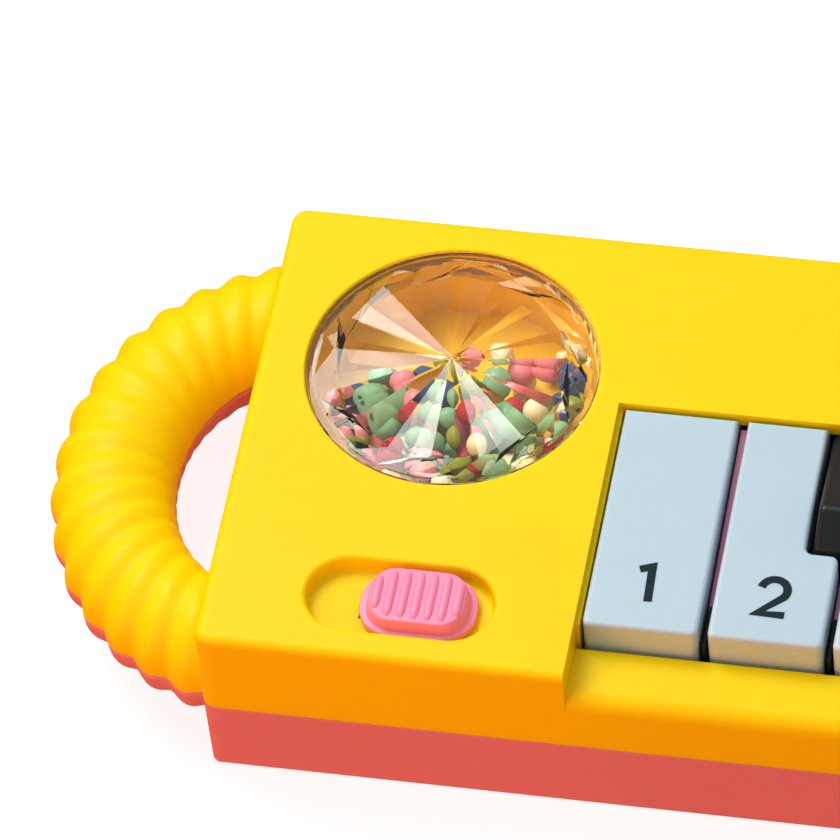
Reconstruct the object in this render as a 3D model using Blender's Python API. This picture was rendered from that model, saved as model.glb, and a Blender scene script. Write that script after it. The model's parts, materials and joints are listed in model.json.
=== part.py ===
"""Toy electronic keyboard with a carry handle, a window of loose beads and eight numbered keys.

Metres, +Z up. The keys face -Y and the handle is at the -X end. The origin is at the middle of the
footprint, handle included, on the surface that the toy stands on.
Places are first given in the body's own grid, from its left face (x), its front face (y) and the
floor (z), and at() moves them into the model's frame.
"""

import math

import bmesh
import bpy
from mathutils import Matrix, Vector

MM = 0.001
GAP = 0.3 * MM                      # what touching pieces keep between them

# Body
LENGTH = 210 * MM                   # without the handle
DEPTH = 67 * MM
BASE = 0.4 * MM                     # underside of the lower housing, which the feet lift
SEAM = 12.25 * MM                   # where the two housings meet
TOP = 25.9 * MM                     # flat top of the end blocks and of the rear strip
WALL = 2 * MM
CORNER = 2 * MM
BLOCK = 44.75 * MM                  # length of each raised end block
LEDGE = TOP - 4.6 * MM              # top of the step in front of the keys
LEDGE_DEPTH = 7.9 * MM
WELL_BACK = 41.6 * MM               # where the rear strip begins
INNER_TOP = TOP - WALL
FOOT_INSET = 0.4 * MM               # the lower housing's draft, from the seam to its foot
FOOT_EDGE = 0.3 * MM                # bevel round the underside
FOOT_RECESS = 0.9 * MM              # depth of the round recesses that hold the rubber feet

# Keys
KEYS = 8
PITCH = 15 * MM
KEY_WIDTH = 13.8 * MM
KEY_FRONT = LEDGE_DEPTH + 0.7 * MM
KEY_TOP = TOP - 0.35 * MM
KEY_BOTTOM = 18.05 * MM
KEY_REAR = 53 * MM
KEY_SKIN = 1.4 * MM
TONGUE_TOP = 23.2 * MM              # the key's tail, where it runs under the rear strip
PIVOT = (50 * MM, 20.5 * MM)        # y and z of the steel rod that the white keys turn on
ROD = 1.25 * MM
PLUNGER_Y = 13 * MM
BLACK_AFTER = (2, 3, 5, 6, 7)       # a black key stands behind the gap after these white keys
BLACK_WIDTH = 8.5 * MM
BLACK_CLEAR = 0.4 * MM
BLACK_FRONT = 22.8 * MM

# Window and speaker, both on the block's centre line
ROUND_X = 23.8 * MM
ROUND_Y = 44.6 * MM
WINDOW = 18.2 * MM
TRAY = 18.9 * MM
TRAY_FLOOR = 13 * MM
BEAD = 2.7 * MM

# Slide switch
SLOT_X = 23.6 * MM
SLOT_Y = 9.25 * MM
SLOT_LENGTH = 22.8 * MM
SLOT_WIDTH = 10.5 * MM
SLOT_FLOOR = TOP - 2.4 * MM
KNOB_X = 25.8 * MM                  # the knob stands right of the slot's middle
KNOB_LENGTH = 14.2 * MM
KNOB_WIDTH = 9.7 * MM
KNOB_TOP = TOP + 1.2 * MM
STEM_X = KNOB_X + 1.5 * MM

# Handle: ribbed tube along an ellipse whose centre lies inside the body's left wall
HANDLE_X = 6 * MM
HANDLE_Y = 33.75 * MM
HANDLE_A = 22.75 * MM
HANDLE_B = 25.45 * MM
RIBS = 15
RIB_CREST = 7.8 * MM
RIB_VALLEY = 7.2 * MM
HANDLE_BORE = 5.4 * MM

# Battery bay
CELL_LENGTH = 44.5 * MM
CELL = 5.25 * MM
BAY_X = (82 * MM, 133.5 * MM)
BAY_Y = (19.4 * MM, 41.3 * MM)
BAY_TOP = 13.9 * MM
BAY_WALL = 1.5 * MM
DOOR_TAB = 10 * MM                  # the door runs on past the bay to its screw
DOOR_Z = (1.0 * MM, 2.6 * MM)
DOOR_AXIS_Z = 1.9 * MM
DOOR_SCREW_X = BAY_X[1] + 5 * MM

SCREWS = [(6.2 * MM, 21 * MM), (5.5 * MM, 60 * MM), (75 * MM, 59.5 * MM),
          (135 * MM, 59.5 * MM), (LENGTH - 5.5 * MM, 60 * MM), (LENGTH - 6.2 * MM, 21 * MM)]

REACH = HANDLE_A - HANDLE_X + RIB_CREST
LEFT = (REACH - LENGTH) / 2         # x of the body's left face in the model's frame


def at(x, y, z):
    """A place in the body's grid, moved into the model's frame."""
    return Vector((LEFT + x, y - DEPTH / 2, z))


# Materials

def linear(code):
    """A hex colour as linear RGB."""
    channels = [int(code[i:i + 2], 16) / 255 for i in (0, 2, 4)]
    return [c / 12.92 if c <= 0.04045 else ((c + 0.055) / 1.055) ** 2.4 for c in channels]


def material(name, code, roughness, metallic=0.0, alpha=1.0):
    made = bpy.data.materials.new(name)
    made.use_nodes = True
    shader = made.node_tree.nodes["Principled BSDF"]
    shader.inputs["Base Color"].default_value = (*linear(code), 1)
    shader.inputs["Roughness"].default_value = roughness
    shader.inputs["Metallic"].default_value = metallic
    shader.inputs["Alpha"].default_value = alpha
    return made


# Outlines and solids

def rounded(x0, x1, y0, y1, radius, steps=4):
    """A rectangle with round corners, anticlockwise."""
    points = []
    for cx, cy, start in ((x1, y1, 0), (x0, y1, 90), (x0, y0, 180), (x1, y0, 270)):
        for i in range(steps + 1):
            a = math.radians(start + 90 * i / steps)
            points.append((cx - math.copysign(radius, cx - x0 - 1e-9) + radius * math.cos(a),
                           cy - math.copysign(radius, cy - y0 - 1e-9) + radius * math.sin(a)))
    return points


def circle(x, y, radius, steps=16):
    return [(x + radius * math.cos(2 * math.pi * i / steps), y + radius * math.sin(2 * math.pi * i / steps))
            for i in range(steps)]


def add_loft(mesh, levels):
    """Adds a closed solid through outlines of equal length at rising heights."""
    rings = [[mesh.verts.new(at(x, y, z)) for x, y in outline] for outline, z in levels]
    for low, high in zip(rings, rings[1:]):
        for i in range(len(low)):
            j = (i + 1) % len(low)
            mesh.faces.new((low[i], low[j], high[j], high[i]))
    mesh.faces.new(reversed(rings[0]))
    mesh.faces.new(rings[-1])


def add_prism(mesh, outline, z0, z1):
    add_loft(mesh, [(outline, z0), (outline, z1)])


def add_box(mesh, x, y, z):
    """Adds a box, from three (low, high) pairs."""
    add_prism(mesh, [(x[0], y[0]), (x[1], y[0]), (x[1], y[1]), (x[0], y[1])], *z)


def add_turned(mesh, profile, centre, axis="Z", steps=24):
    """Adds a solid turned about an axis through centre. profile is a closed run of (radius, height)
    points, anticlockwise with the radius to the right; a point on the axis has radius 0."""
    turn = {"Z": Matrix.Identity(3), "X": Matrix(((0, 0, 1), (0, 1, 0), (-1, 0, 0))),
            "Y": Matrix(((1, 0, 0), (0, 0, 1), (0, -1, 0)))}[axis]
    rings = []
    for radius, height in profile:
        count = 1 if radius == 0 else steps
        rings.append([mesh.verts.new(at(*centre) + turn @ Vector((
            radius * math.cos(2 * math.pi * i / steps), radius * math.sin(2 * math.pi * i / steps),
            height))) for i in range(count)])
    for a, b in zip(rings, rings[1:] + rings[:1]):
        for i in range(steps):
            j = (i + 1) % steps
            corners = (a[i % len(a)], a[j % len(a)], b[j % len(b)], b[i % len(b)])
            corners = list(dict.fromkeys(corners))
            if len(corners) > 2:
                mesh.faces.new(corners)


def add_rod(mesh, centre, radius, length, axis, steps=12):
    """Adds a cylinder that runs from centre along the axis."""
    add_turned(mesh, [(0, 0), (radius, 0), (radius, length), (0, length)], centre, axis, steps)


def make(name, add, look, origin=None):
    """A named node. add fills its mesh; origin is a place in the grid for the object's own origin."""
    mesh = bmesh.new()
    add(mesh)
    bmesh.ops.recalc_face_normals(mesh, faces=mesh.faces)
    place = at(*origin) if origin else Vector()
    bmesh.ops.translate(mesh, vec=-place, verts=mesh.verts)
    data = bpy.data.meshes.new(name)
    mesh.to_mesh(data)
    mesh.free()
    node = bpy.data.objects.new(name, data)
    node.location = place
    bpy.context.scene.collection.objects.link(node)
    if look:
        data.materials.append(look)
        data.shade_smooth()
        data.set_sharp_from_angle(angle=math.radians(35))
    return node


def change(node, operation, *adds):
    """Cuts shapes out of a node (DIFFERENCE) or joins them to it (UNION), each by its own Boolean."""
    for add in adds:
        tool = make(f"{node.name}_tool", add, None)
        tool.hide_render = True
        tool.display_type = "WIRE"
        step = node.modifiers.new(operation.lower(), "BOOLEAN")
        step.operation = operation
        step.object = tool


def box(*pairs):
    return lambda mesh: add_box(mesh, *pairs)


def prism(outline, z0, z1):
    return lambda mesh: add_prism(mesh, outline, z0, z1)


def rod(centre, radius, length, axis="Z", steps=12):
    return lambda mesh: add_rod(mesh, centre, radius, length, axis, steps)


def turned(profile, centre, steps=24, axis="Z"):
    return lambda mesh: add_turned(mesh, profile, centre, axis, steps)


# Housings

def body_outline(inset):
    return rounded(inset, LENGTH - inset, inset, DEPTH - inset, max(CORNER - inset, 1 * MM))


def round_hole_grid():
    """Centres of the speaker grille's holes, one and two rings about a middle hole."""
    centres = [(0, 0)]
    for ring, count in ((1, 6), (2, 12)):
        for i in range(count):
            a = 2 * math.pi * i / count
            centres.append((ring * 5 * MM * math.cos(a), ring * 5 * MM * math.sin(a)))
    return [(LENGTH - ROUND_X + x, ROUND_Y + y) for x, y in centres]


def top_housing(look):
    edge = 1.2 * MM
    fillet = [(edge * (1 - math.cos(math.radians(a))), TOP - edge * (1 - math.sin(math.radians(a))))
              for a in (0, 30, 60, 90)]
    node = make("top_housing", lambda mesh: add_loft(
        mesh, [(body_outline(0), SEAM + GAP / 2)] + [(body_outline(d), z) for d, z in fillet]), look)
    field = (BLOCK, LENGTH - BLOCK)
    under = SEAM - 1 * MM
    change(
        node, "DIFFERENCE",
        box(field, (-1 * MM, WELL_BACK), (LEDGE, TOP + 1 * MM)),
        box(field, (LEDGE_DEPTH, WELL_BACK), (under, TOP)),
        prism(body_outline(WALL), under, LEDGE - WALL),
        prism(rounded(WALL, BLOCK - WALL, WALL, DEPTH - WALL, 2 * MM), under, INNER_TOP),
        prism(rounded(LENGTH - BLOCK + WALL, LENGTH - WALL, WALL, DEPTH - WALL, 2 * MM), under, INNER_TOP),
        box(field, (WELL_BACK - 1 * MM, DEPTH - WALL), (under, INNER_TOP)),
        prism(circle(ROUND_X, ROUND_Y, WINDOW, 40), under, TOP + 1 * MM),
    )
    change(
        node, "UNION",
        prism(rounded(SLOT_X - SLOT_LENGTH / 2 - 1.5 * MM, SLOT_X + SLOT_LENGTH / 2 + 1.5 * MM,
                      SLOT_Y - SLOT_WIDTH / 2 - 1.5 * MM, SLOT_Y + SLOT_WIDTH / 2 + 1.5 * MM, 5 * MM),
              SLOT_FLOOR - 1.5 * MM, INNER_TOP + 0.5 * MM),
        *[rod((x, y, SEAM + GAP / 2), 3 * MM, INNER_TOP - SEAM + 0.5 * MM) for x, y in SCREWS],
    )
    rod_start = BLOCK - WALL - 1 * MM
    change(
        node, "DIFFERENCE",
        prism(rounded(SLOT_X - SLOT_LENGTH / 2, SLOT_X + SLOT_LENGTH / 2, SLOT_Y - SLOT_WIDTH / 2,
                      SLOT_Y + SLOT_WIDTH / 2, SLOT_WIDTH / 2 - 0.01 * MM), SLOT_FLOOR, TOP + 1 * MM),
        box((STEM_X - 8.6 * MM, STEM_X + 4.2 * MM), (SLOT_Y - 1.9 * MM, SLOT_Y + 1.9 * MM),
            (SLOT_FLOOR - 2.5 * MM, SLOT_FLOOR + 0.5 * MM)),
        rod((rod_start, *PIVOT), ROD + GAP, LENGTH - 2 * rod_start, "X"),
        *[rod((x, y, SEAM - 1 * MM), 1.4 * MM, 9.5 * MM, steps=10) for x, y in SCREWS],
        lambda mesh: [add_prism(mesh, circle(x, y, 1.5 * MM, 10), INNER_TOP - 1 * MM, TOP + 1 * MM)
                      for x, y in round_hole_grid()],
    )


FEET = [(x, y) for x in (14 * MM, LENGTH - 14 * MM) for y in (9 * MM, DEPTH - 17 * MM)]
DOOR_X = (BAY_X[0], BAY_X[1] + DOOR_TAB)


def bottom_housing(look):
    rim = SEAM - GAP / 2
    node = make("bottom_housing", lambda mesh: add_loft(mesh, [
        (body_outline(FOOT_INSET + FOOT_EDGE), BASE), (body_outline(FOOT_INSET), BASE + FOOT_EDGE),
        (body_outline(0), rim)]), look)
    change(node, "DIFFERENCE", lambda mesh: add_loft(mesh, [
        (body_outline(FOOT_INSET + WALL), BASE + WALL), (body_outline(WALL), rim + 1 * MM)]))
    floor = BASE + 1 * MM
    round_right = LENGTH - ROUND_X
    posts = [(15 * MM, 19 * MM, 14.9 * MM), (38 * MM, 6 * MM, 14.9 * MM),
             (ROUND_X, ROUND_Y, TRAY_FLOOR - GAP), (round_right, ROUND_Y, 12.4 * MM)]
    change(
        node, "UNION",
        box((BAY_X[0] - BAY_WALL, DOOR_X[1] + BAY_WALL), (BAY_Y[0] - BAY_WALL, BAY_Y[1] + BAY_WALL),
            (BASE, BAY_TOP + BAY_WALL)),
        *[rod((x, y, floor), 3.4 * MM, rim - floor) for x, y in SCREWS],
        *[rod((x, y, floor), 2.6 * MM, top - floor) for x, y, top in posts],
        *[box((x, x + 4 * MM), (9 * MM, 17 * MM), (floor, 10.7 * MM)) for x in (58 * MM, 103 * MM, 148 * MM)],
        *[box((x, x + 4 * MM), (43.2 * MM, 46.8 * MM), (floor, 13.9 * MM)) for x in (58 * MM, 153 * MM)],
    )
    below = -1 * MM
    change(
        node, "DIFFERENCE",
        box(DOOR_X, BAY_Y, (below, 3 * MM)),
        box(BAY_X, BAY_Y, (2.9 * MM, BAY_TOP)),
        rod((DOOR_SCREW_X, sum(BAY_Y) / 2, 2.8 * MM), 4.3 * MM, 2.6 * MM, steps=16),
        rod((DOOR_SCREW_X, sum(BAY_Y) / 2, 5 * MM), 1.8 * MM, 6.5 * MM),
        rod((BAY_X[0] + 1.2 * MM, BAY_Y[0] - 1.2 * MM, DOOR_AXIS_Z), 0.95 * MM,
            BAY_Y[1] - BAY_Y[0] + 2.4 * MM, "Y"),
        *[rod((x, y, below), 2.7 * MM, 9.8 * MM - below) for x, y in SCREWS],
        *[rod((x, y, 9 * MM), 1.4 * MM, 5 * MM, steps=10) for x, y in SCREWS],
        *[rod((x, y, below), 4.8 * MM, BASE + FOOT_RECESS - below, steps=16) for x, y in FEET],
    )


def handle_half(name, look, side):
    """Half of the ribbed tube: the upper half for side 1, the lower for -1. Its ribs fan out from a hub
    on the wall, so that both ends meet the wall squarely."""
    hub = Vector((-GAP, HANDLE_Y))
    last = math.acos((HANDLE_X + GAP) / HANDLE_A)

    def section(i):
        a = last * (i / RIBS - 1)
        middle = Vector((HANDLE_X - HANDLE_A * math.cos(a), HANDLE_Y + HANDLE_B * math.sin(a)))
        square = Vector((-HANDLE_B * math.cos(a), HANDLE_A * math.sin(a))).normalized()
        out = (middle - hub).normalized()
        outer = RIB_CREST if i % 2 else RIB_VALLEY
        arc = [(outer, math.pi * k / 8) for k in range(9)]
        arc += [(HANDLE_BORE, math.pi * (1 - k / 6)) for k in range(7)]
        for radius, turn in arc:
            flat = middle + out * radius * math.cos(turn) / out.dot(square)
            lift = side * (GAP / 2 + (radius - GAP / 2) * math.sin(turn))
            yield at(flat.x, flat.y, SEAM + lift)

    def add(mesh):
        rings = [[mesh.verts.new(p) for p in section(i)] for i in range(2 * RIBS + 1)]
        for a, b in zip(rings, rings[1:]):
            for i in range(len(a)):
                j = (i + 1) % len(a)
                mesh.faces.new((a[i], a[j], b[j], b[i]))
        mesh.faces.new(rings[0])
        mesh.faces.new(rings[-1])
    make(name, add, look)


# Window

def window(clear, tray_look, bead_looks):
    centre = (ROUND_X, ROUND_Y, 0)
    rim, flange = INNER_TOP - GAP, INNER_TOP - 1.5 * MM
    neck = WINDOW - 0.5 * MM
    make("window_lens", turned([
        (0, TOP + 0.6 * MM), (13 * MM, TOP - 0.7 * MM), (16.4 * MM, TOP - 1.4 * MM), (16.4 * MM, flange),
        (TRAY, flange), (TRAY, rim), (neck, rim), (neck, TOP - 0.2 * MM), (14 * MM, TOP + 0.6 * MM),
        (8 * MM, TOP + 1.3 * MM), (0, TOP + 1.9 * MM)], centre, 32), clear)
    make("bead_tray", turned([
        (0, TRAY_FLOOR), (TRAY, TRAY_FLOOR), (TRAY, flange - GAP), (TRAY - 1.2 * MM, flange - GAP),
        (TRAY - 1.2 * MM, TRAY_FLOOR + 1.2 * MM), (0, TRAY_FLOOR + 1.2 * MM)], centre, 32), tray_look)
    row_gap = 2 * BEAD + 0.4 * MM
    number = 0
    for row, count in enumerate((3, 4, 5)):
        for i in range(count):
            number += 1
            x = ROUND_X + (i - (count - 1) / 2) * row_gap
            y = ROUND_Y - 13.4 * MM + row * 5.1 * MM
            z = TRAY_FLOOR + 1.2 * MM + BEAD + GAP
            arc = [(BEAD * math.cos(a), z + BEAD * math.sin(a))
                   for a in (math.radians(d) for d in (-60, -30, 0, 30, 60))]
            profile = [(0, z - BEAD)] + arc + [(0, z + BEAD)]
            make(f"bead_{number}", turned(profile, (x, y, 0), 10), bead_looks[number % len(bead_looks)])


# Keys

def key_left(number):
    """x of white key number's left side."""
    span = KEYS * KEY_WIDTH + (KEYS - 1) * (PITCH - KEY_WIDTH)
    return (LENGTH - span) / 2 + (number - 1) * PITCH


def key_outline(number, inset):
    """A white key's outline from above, with a notch where a black key stands beside it."""
    notch = BLACK_WIDTH / 2 + BLACK_CLEAR - (PITCH - KEY_WIDTH) / 2
    left, right = key_left(number), key_left(number) + KEY_WIDTH
    back_left = left + (notch if number - 1 in BLACK_AFTER else 0)
    back_right = right - (notch if number in BLACK_AFTER else 0)
    shoulder = BLACK_FRONT - BLACK_CLEAR
    points = [(left + inset, KEY_FRONT + inset), (right - inset, KEY_FRONT + inset)]
    if back_right < right:
        points += [(right - inset, shoulder - inset), (back_right - inset, shoulder - inset)]
    points += [(back_right - inset, KEY_REAR - inset), (back_left + inset, KEY_REAR - inset)]
    if back_left > left:
        points += [(back_left + inset, shoulder - inset), (left + inset, shoulder - inset)]
    return points


def white_key(number, look):
    left = key_left(number)
    middle = left + KEY_WIDTH / 2
    node = make(f"white_key_{number}", prism(key_outline(number, 0), KEY_BOTTOM, KEY_TOP), look,
                origin=(middle, *PIVOT))
    change(
        node, "DIFFERENCE",
        box((left - 1 * MM, left + KEY_WIDTH + 1 * MM), (WELL_BACK - 0.4 * MM, KEY_REAR + 1 * MM),
            (TONGUE_TOP, TOP)),
        prism(key_outline(number, KEY_SKIN)[:2] + hollow_back(number), KEY_BOTTOM - 1 * MM,
              KEY_TOP - 1.8 * MM),
        rod((left - 1 * MM, *PIVOT), ROD + GAP, KEY_WIDTH + 2 * MM, "X"),
    )
    travel_stop = 17.65 * MM
    change(node, "UNION", box((middle - 1.5 * MM, middle + 1.5 * MM),
                              (PLUNGER_Y - 1.5 * MM, PLUNGER_Y + 1.5 * MM), (travel_stop, KEY_TOP - 1 * MM)))


def hollow_back(number):
    """The rear corners of the hollow under a key, which stops short of the black keys' notches."""
    x_right = key_left(number) + KEY_WIDTH - KEY_SKIN
    x_left = key_left(number) + KEY_SKIN
    back = BLACK_FRONT - BLACK_CLEAR - KEY_SKIN
    return [(x_right, back), (x_left, back)]


def black_comb(look):
    """The black keys are one fixed moulding: wedges on a bar that runs under the white keys."""
    bar_y, bar_z = (43.3 * MM, 47 * MM), (14.2 * MM, 16.6 * MM)
    node = make("black_key_comb", box((BLOCK + 2.3 * MM, LENGTH - BLOCK - 2.3 * MM), bar_y, bar_z), look)
    side = [(BLACK_FRONT, 17.5 * MM), (BLACK_FRONT, 25.2 * MM), (BLACK_FRONT + 4.3 * MM, TOP + 2.65 * MM),
            (WELL_BACK - 0.3 * MM, TOP - 1.8 * MM), (WELL_BACK - 0.3 * MM, 22.4 * MM),
            (bar_y[1], 22.4 * MM), (bar_y[1], bar_z[0]), (bar_y[0], bar_z[0]), (bar_y[0], 17.5 * MM)]

    def wedge(middle):
        def add(mesh):
            ends = [[mesh.verts.new(at(middle + s * (BLACK_WIDTH / 2 - taper(z)), y, z)) for y, z in side]
                    for s in (-1, 1)]
            for i in range(len(side)):
                j = (i + 1) % len(side)
                mesh.faces.new((ends[0][i], ends[0][j], ends[1][j], ends[1][i]))
            mesh.faces.new(ends[0])
            mesh.faces.new(ends[1])
        return add

    def taper(z):
        return 0.7 * MM * max(0, z - 22 * MM) / (TOP + 2.65 * MM - 22 * MM)

    gap_half = (PITCH - KEY_WIDTH) / 2
    change(node, "UNION", *[wedge(key_left(n) + KEY_WIDTH + gap_half) for n in BLACK_AFTER])


def key_parts(steel, rubber, board):
    make("key_pivot_rod", rod((BLOCK - WALL + 0.2 * MM, *PIVOT), ROD,
                              LENGTH - 2 * (BLOCK - WALL + 0.2 * MM), "X"), steel)
    field = (BLOCK + 1.2 * MM, LENGTH - BLOCK - 1.2 * MM)
    make("key_board", box(field, (8.8 * MM, 17.2 * MM), (11 * MM, 12.6 * MM)), board)
    strip = make("key_contact_strip", box(field, (9.2 * MM, 16.8 * MM), (12.9 * MM, 13.9 * MM)), rubber)
    pads = [key_left(n) + KEY_WIDTH / 2 for n in range(1, KEYS + 1)]
    fins = [key_left(n) - (PITCH - KEY_WIDTH) / 2 for n in range(2, KEYS + 1)]
    change(
        strip, "UNION",
        lambda mesh: [add_prism(mesh, circle(x, PLUNGER_Y, 2.4 * MM, 12), 13.5 * MM, 14.9 * MM) for x in pads],
        lambda mesh: [add_box(mesh, (x - 0.25 * MM, x + 0.25 * MM), (9.4 * MM, 15.4 * MM),
                              (13.4 * MM, 22.4 * MM)) for x in fins],
    )


# Slide switch

def slide_switch(pink, steel, black, board):
    half_l, half_w = KNOB_LENGTH / 2, KNOB_WIDTH / 2
    base, shoulder = SLOT_FLOOR + GAP, SLOT_FLOOR + 1.1 * MM

    def outline(inset, radius):
        return rounded(KNOB_X - half_l + inset, KNOB_X + half_l - inset,
                       SLOT_Y - half_w + inset * 0.6, SLOT_Y + half_w - inset * 0.6, radius)
    knob = make("switch_knob", lambda mesh: add_loft(mesh, [
        (outline(0, 4.4 * MM), base), (outline(0, 4.4 * MM), shoulder),
        (outline(1.7 * MM, 2.8 * MM), KNOB_TOP)]), pink, origin=(KNOB_X, SLOT_Y, base))
    change(knob, "UNION", box((STEM_X - 2.2 * MM, STEM_X + 2.2 * MM), (SLOT_Y - 1.6 * MM, SLOT_Y + 1.6 * MM),
                              (21.3 * MM, base + 0.5 * MM)))
    change(knob, "DIFFERENCE", box((STEM_X - 1.4 * MM, STEM_X + 1.4 * MM),
                                   (SLOT_Y - 1.0 * MM, SLOT_Y + 1.0 * MM), (20 * MM, 24 * MM)))
    make("switch_lever", box((STEM_X - 1 * MM, STEM_X + 1 * MM), (SLOT_Y - 0.7 * MM, SLOT_Y + 0.7 * MM),
                             (20.9 * MM, 23.5 * MM)), black, origin=(STEM_X, SLOT_Y, 20.9 * MM))
    make("switch_case", box((SLOT_X - 5 * MM, SLOT_X + 6 * MM), (SLOT_Y - 2.4 * MM, SLOT_Y + 2.4 * MM),
                            (17.1 * MM, 20.6 * MM)), steel)
    make("control_board", box((10.2 * MM, 43 * MM), (3.4 * MM, 23.2 * MM), (15.2 * MM, 16.8 * MM)), board)
    make("sound_chip", turned([(0, 17.1 * MM), (3.6 * MM, 17.1 * MM), (2.9 * MM, 18.2 * MM),
                               (0, 18.6 * MM)], (36 * MM, 18 * MM, 0), 16), black)


# Sound and power

def speaker(steel, paper, magnet):
    centre = (LENGTH - ROUND_X, ROUND_Y, 0)
    lip = INNER_TOP - GAP
    make("speaker_basket", turned([
        (6 * MM, 18 * MM), (9 * MM, 18 * MM), (14.5 * MM, 22.4 * MM), (14.5 * MM, lip), (13.2 * MM, lip),
        (13.2 * MM, 22.7 * MM), (8.6 * MM, 18.8 * MM), (6 * MM, 18.8 * MM)], centre), steel)
    make("speaker_cone", turned([
        (0, 20.1 * MM), (4.7 * MM, 20.1 * MM), (12.7 * MM, 22.9 * MM), (12.7 * MM, 23.3 * MM),
        (4.5 * MM, 20.7 * MM), (0, 20.7 * MM)], centre), paper)
    make("speaker_magnet", rod((*centre[:2], 12.8 * MM), 7.5 * MM, 4.9 * MM, steps=24), magnet)


def battery(name, look, y, plus):
    """A AAA cell along X, with its plus end at the right for plus 1 and at the left for -1."""
    start = (sum(BAY_X) - plus * CELL_LENGTH) / 2
    nub = 1 * MM
    profile = [(0, 0), (CELL, 0), (CELL, CELL_LENGTH - nub), (1.9 * MM, CELL_LENGTH - nub),
               (1.9 * MM, CELL_LENGTH), (0, CELL_LENGTH)]
    z = 3.05 * MM + CELL
    make(name, turned([(r, plus * h) for r, h in profile], (start, y, z), 16, "X"), look)


def battery_parts(cell_look, steel):
    middle = sum(BAY_Y) / 2
    rows = (middle - CELL - 0.2 * MM, middle + CELL + 0.2 * MM)
    battery("battery_1", cell_look, rows[0], 1)
    battery("battery_2", cell_look, rows[1], -1)
    height = (4 * MM, 13 * MM)
    plate = 0.5 * MM
    coil = 2.6 * MM
    centre_z = 3.05 * MM + CELL
    ends = ((sum(BAY_X) - CELL_LENGTH) / 2 - GAP, (sum(BAY_X) + CELL_LENGTH) / 2 + GAP)
    left, right = BAY_X[0] + GAP, BAY_X[1] - GAP
    bridge = make("contact_bridge", box((left, left + plate), (rows[0] - 4 * MM, rows[1] + 4 * MM), height), steel)
    change(bridge, "UNION", rod((left + plate / 2, rows[0], centre_z), coil, ends[0] - left - plate / 2, "X"),
           rod((left + plate / 2, rows[1], centre_z), 1.6 * MM, ends[0] - left - plate / 2, "X"))
    for name, row, radius in (("contact_positive", rows[0], 1.6 * MM), ("contact_negative", rows[1], coil)):
        tab = make(name, box((right - plate, right), (row - 4 * MM, row + 4 * MM), height), steel)
        change(tab, "UNION", rod((ends[1], row, centre_z), radius, right - plate / 2 - ends[1], "X"))


def battery_door(look, steel):
    x0, x1 = BAY_X[0] + 1.2 * MM, DOOR_X[1] - GAP
    y0, y1 = BAY_Y[0] + GAP, BAY_Y[1] - GAP
    middle = sum(BAY_Y) / 2
    hinge = (x0, middle, DOOR_AXIS_Z)
    door = make("battery_door", box((x0, x1), (y0, y1), DOOR_Z), look, origin=hinge)
    change(door, "UNION",
           rod((x0, y0, DOOR_AXIS_Z), 0.8 * MM, y1 - y0, "Y"),
           rod((x0, BAY_Y[0] - 0.9 * MM, DOOR_AXIS_Z), 0.6 * MM, BAY_Y[1] - BAY_Y[0] + 1.8 * MM, "Y"),
           rod((DOOR_SCREW_X, middle, 1.5 * MM), 3.4 * MM, 3.1 * MM, steps=16))
    change(door, "DIFFERENCE",
           rod((DOOR_SCREW_X, middle, 0), 2.4 * MM, 3 * MM),
           rod((DOOR_SCREW_X, middle, 2.5 * MM), 1.3 * MM, 3 * MM))
    make("battery_door_screw", turned([
        (0, 1.3 * MM), (2 * MM, 1.3 * MM), (2 * MM, 2.7 * MM), (1 * MM, 2.7 * MM), (1 * MM, 9.6 * MM),
        (0, 10.4 * MM)], (DOOR_SCREW_X, middle, 0), 12), steel, origin=hinge)


def screws_and_feet(steel, rubber):
    for number, (x, y) in enumerate(SCREWS, 1):
        make(f"housing_screw_{number}", turned([
            (0, 7.4 * MM), (2.3 * MM, 7.4 * MM), (2.3 * MM, 9.5 * MM), (1.1 * MM, 9.5 * MM),
            (1.1 * MM, 18.5 * MM), (0, 19.4 * MM)], (x, y, 0), 12), steel)
    for number, (x, y) in enumerate(FEET, 1):
        make(f"foot_pad_{number}", rod((x, y, 0), 4.4 * MM, BASE + FOOT_RECESS - GAP, steps=20), rubber)


def wire(name, route, look):
    """A wire along a smooth curve through the route's points."""
    points = [at(*p) for p in route]
    points = [2 * points[0] - points[1]] + points + [2 * points[-1] - points[-2]]
    line = []
    for i in range(1, len(points) - 2):
        a, b, c, d = points[i - 1:i + 3]
        for k in range(4):
            t = k / 4
            line.append(0.5 * (2 * b + (c - a) * t + (2 * a - 5 * b + 4 * c - d) * t * t
                               + (3 * b - a - 3 * c + d) * t ** 3))
    line.append(points[-2])
    curve = bpy.data.curves.new(name, "CURVE")
    curve.dimensions = "3D"
    curve.bevel_depth = 0.6 * MM
    curve.bevel_resolution = 2
    curve.use_fill_caps = True
    spline = curve.splines.new("POLY")
    spline.points.add(len(line) - 1)
    for point, place in zip(spline.points, line):
        point.co = (*place, 1)
    curve.materials.append(look)
    bpy.context.scene.collection.objects.link(bpy.data.objects.new(name, curve))


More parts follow.
